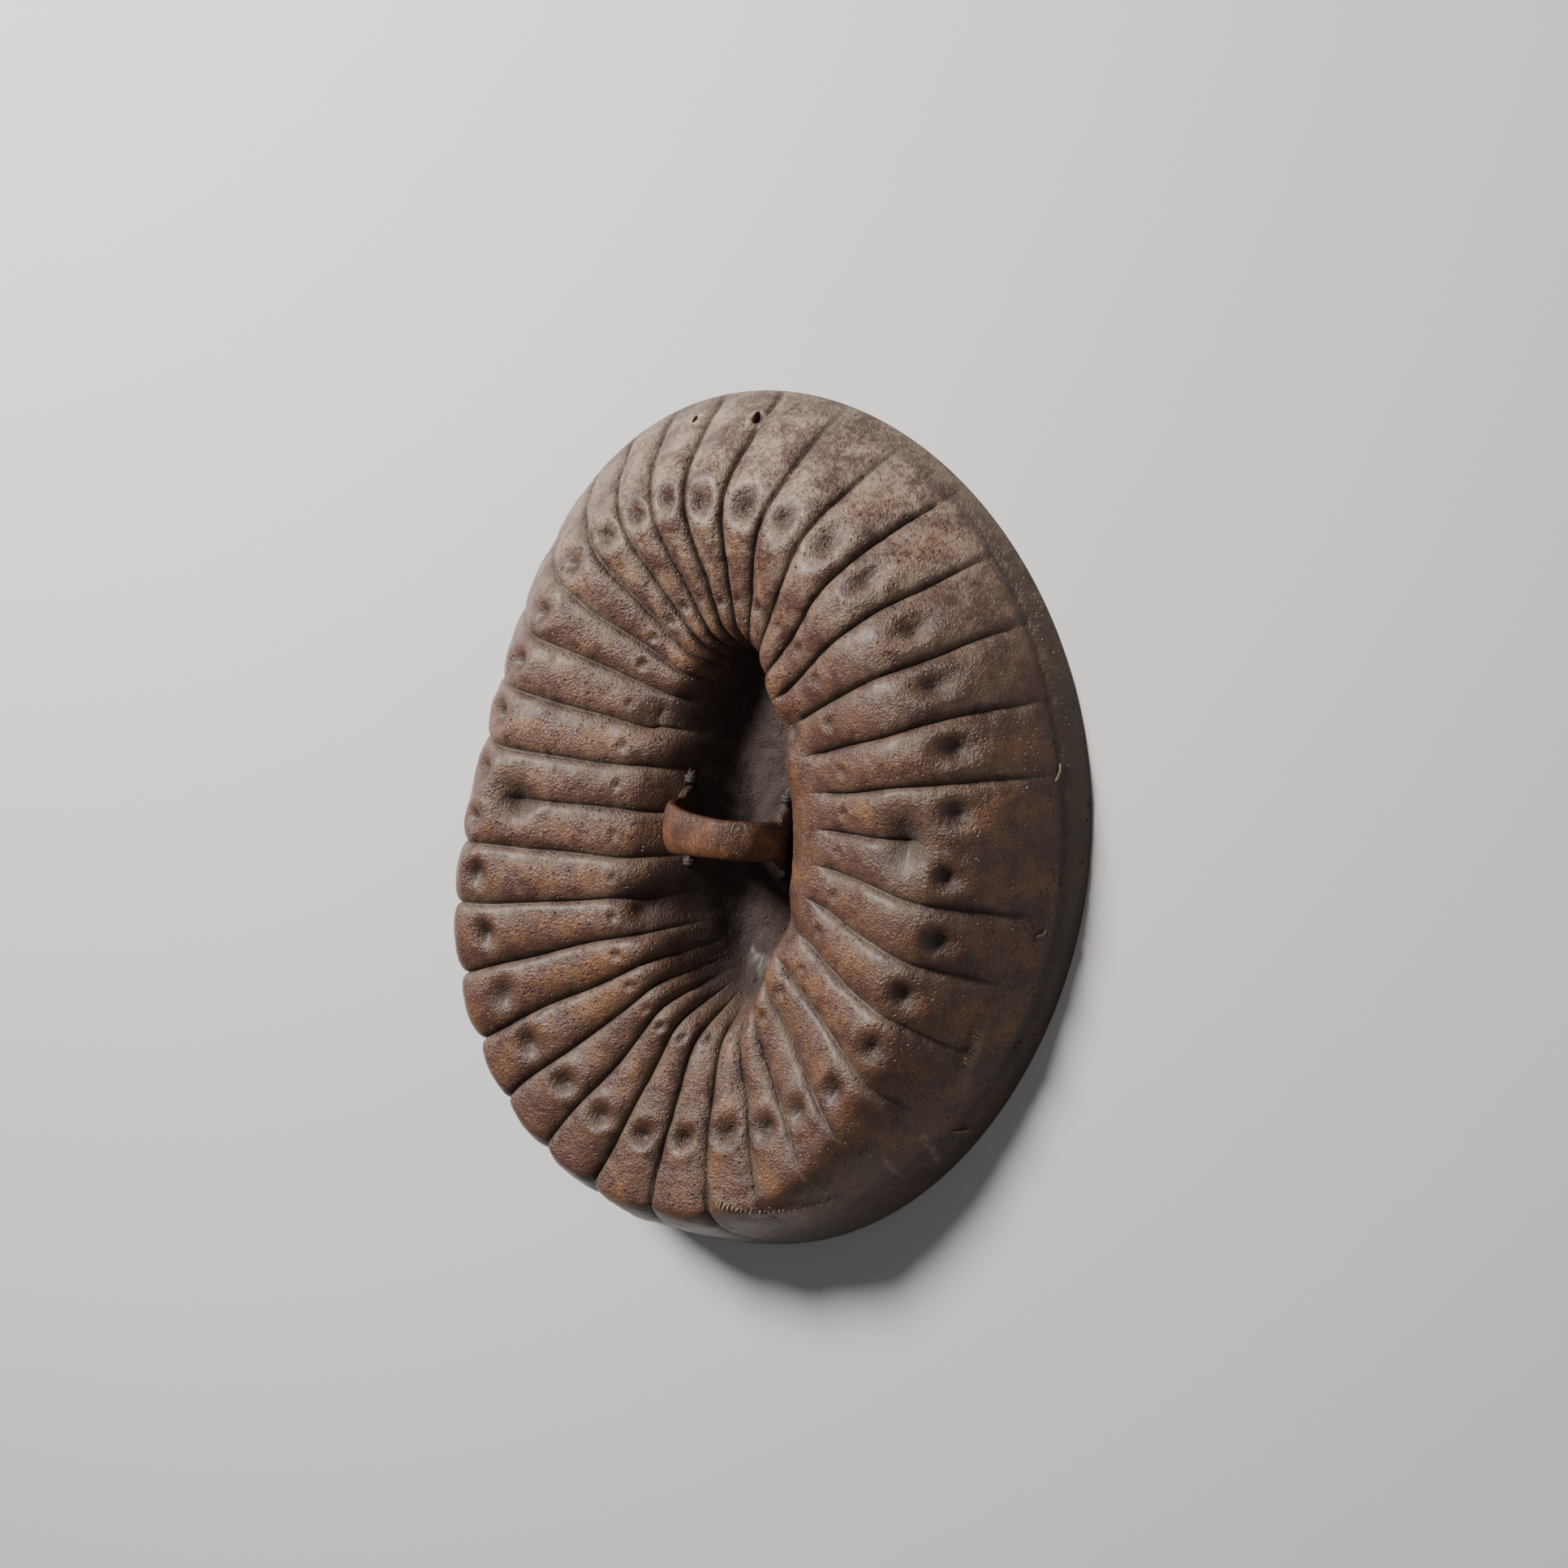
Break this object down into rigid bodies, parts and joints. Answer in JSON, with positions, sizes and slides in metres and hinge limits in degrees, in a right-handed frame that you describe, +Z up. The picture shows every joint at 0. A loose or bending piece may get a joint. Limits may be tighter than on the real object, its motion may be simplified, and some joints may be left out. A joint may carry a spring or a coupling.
{
  "type": "hide shield",
  "caption": "Round shield of thick moulded hide: a pleated ring bulge round a long hollow that a leather strap spans as the hand grip",
  "frame": {"origin": "the middle of the outline seen from above, at the height of the surface that the rim rests on", "axes": "+Z is up, from the rim towards the face with the grip. +Y runs along the long hollow, towards the end with the two slits. +X runs across the shield, along the grip, to the right when +Y points away."},
  "size_m": [0.5837, 0.6807, 0.1218],
  "materials": {
    "hide": "dark brown raw hide with a soft worn sheen, dusty in the creases",
    "strap": "red-brown leather polished by the hand",
    "thong": "near-black twisted hide thong, dull",
    "thread": "pale dry hide lacing, dull"
  },
  "bodies": {
    "root": {"hide_shell": "hide", "grip_strap": "strap", "thong_left_upper": "thong", "thong_left_lower": "thong", "thong_right_upper": "thong", "thong_right_lower": "thong", "seam_thread": "thread", "scar_thread": "thread", "rim_stitch_1": "thread", "rim_stitch_2": "thread", "rim_stitch_3": "thread"}
  },
  "joints": []
}
